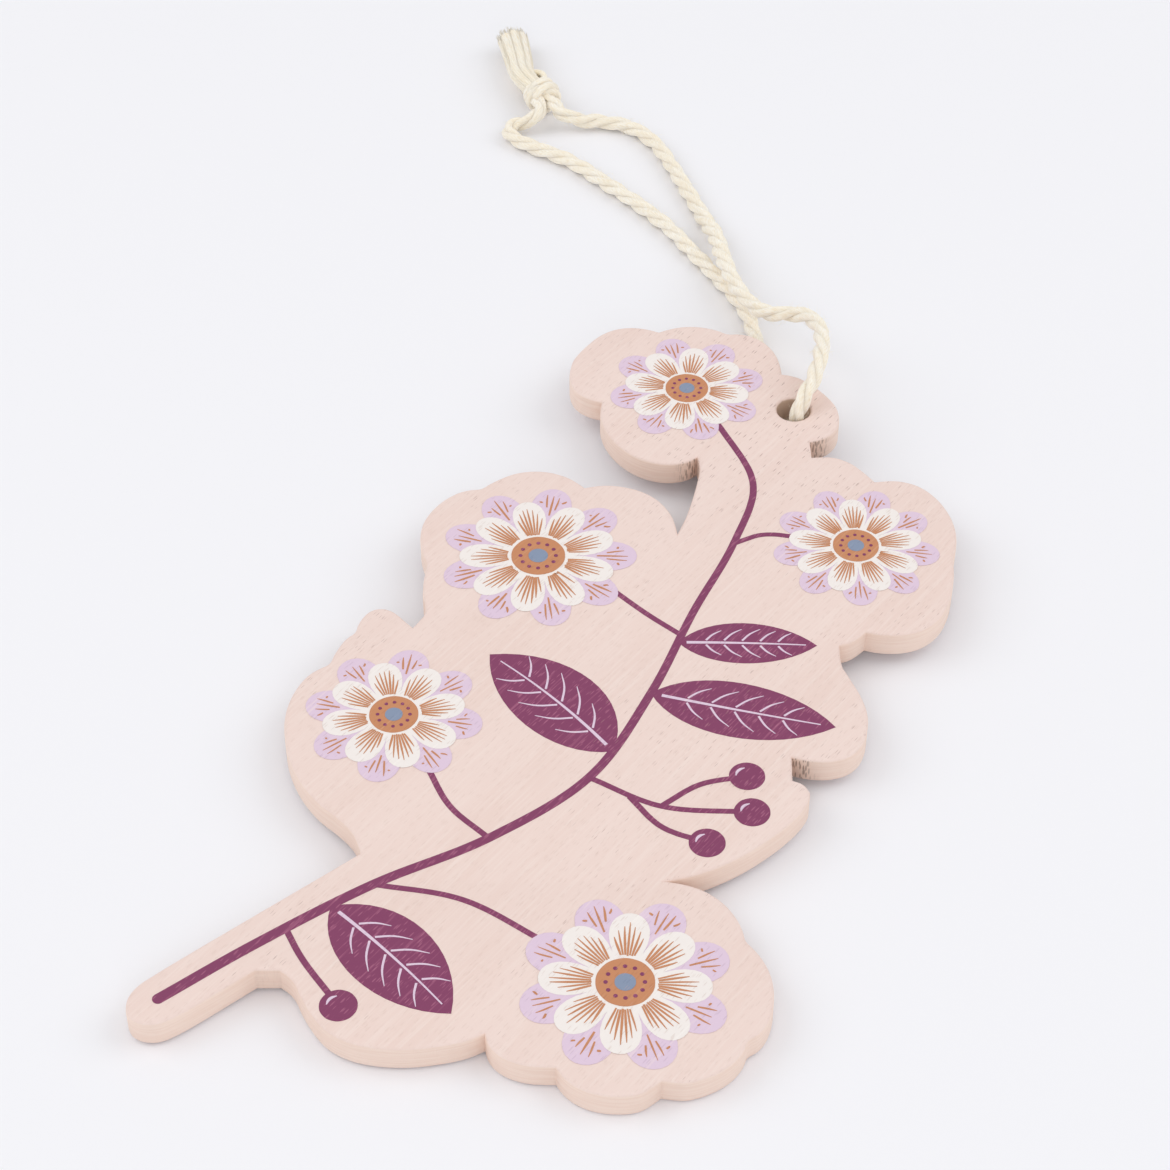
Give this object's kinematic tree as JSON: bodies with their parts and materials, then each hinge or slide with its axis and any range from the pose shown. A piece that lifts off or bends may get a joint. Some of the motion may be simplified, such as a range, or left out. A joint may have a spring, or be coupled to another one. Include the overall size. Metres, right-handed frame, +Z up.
{
  "type": "wooden gift tag",
  "caption": "Flat wooden tag cut as a flowering sprig, with a printed daisy spray and a hanging loop of twisted cotton cord.",
  "frame": {"origin": "on the surface the tag lies on, under the middle of the board's bounding box; the cord isn't counted", "axes": "+Z up, out of the printed face; +Y from the foot of the sprig towards the hole and the cord; +X to the right of the printed face"},
  "size_m": [0.1056, 0.2249, 0.0116],
  "materials": {
    "beech": "pale blush beech, sanded matt, fine darker flecks",
    "cotton_cord": "cream cotton, three plies twisted together, fuzzy",
    "plum_ink": "thin matt ink that lets the grain show",
    "lilac_ink": "thin matt ink that lets the grain show",
    "white_ink": "thin matt ink that lets the grain show",
    "ochre_ink": "thin matt ink",
    "blue_ink": "thin matt ink"
  },
  "bodies": {
    "root": {"tag_board": "beech", "print_plum_sprig": "plum_ink", "print_head_lilac_petals": "lilac_ink", "print_head_white_petals": "white_ink", "print_head_ochre_centre": "ochre_ink", "print_head_blue_eye": "blue_ink", "print_right_shoulder_lilac_petals": "lilac_ink", "print_right_shoulder_white_petals": "white_ink", "print_right_shoulder_ochre_centre": "ochre_ink", "print_right_shoulder_blue_eye": "blue_ink", "print_left_shoulder_lilac_petals": "lilac_ink", "print_left_shoulder_white_petals": "white_ink", "print_left_shoulder_ochre_centre": "ochre_ink", "print_left_shoulder_blue_eye": "blue_ink", "print_left_side_lilac_petals": "lilac_ink", "print_left_side_white_petals": "white_ink", "print_left_side_ochre_centre": "ochre_ink", "print_left_side_blue_eye": "blue_ink", "print_foot_lilac_petals": "lilac_ink", "print_foot_white_petals": "white_ink", "print_foot_ochre_centre": "ochre_ink", "print_foot_blue_eye": "blue_ink", "cord_through_hole": "cotton_cord", "cord_over_strand": "cotton_cord", "cord_under_strand": "cotton_cord", "cord_knot": "cotton_cord", "cord_frayed_ends": "cotton_cord"}
  },
  "joints": []
}
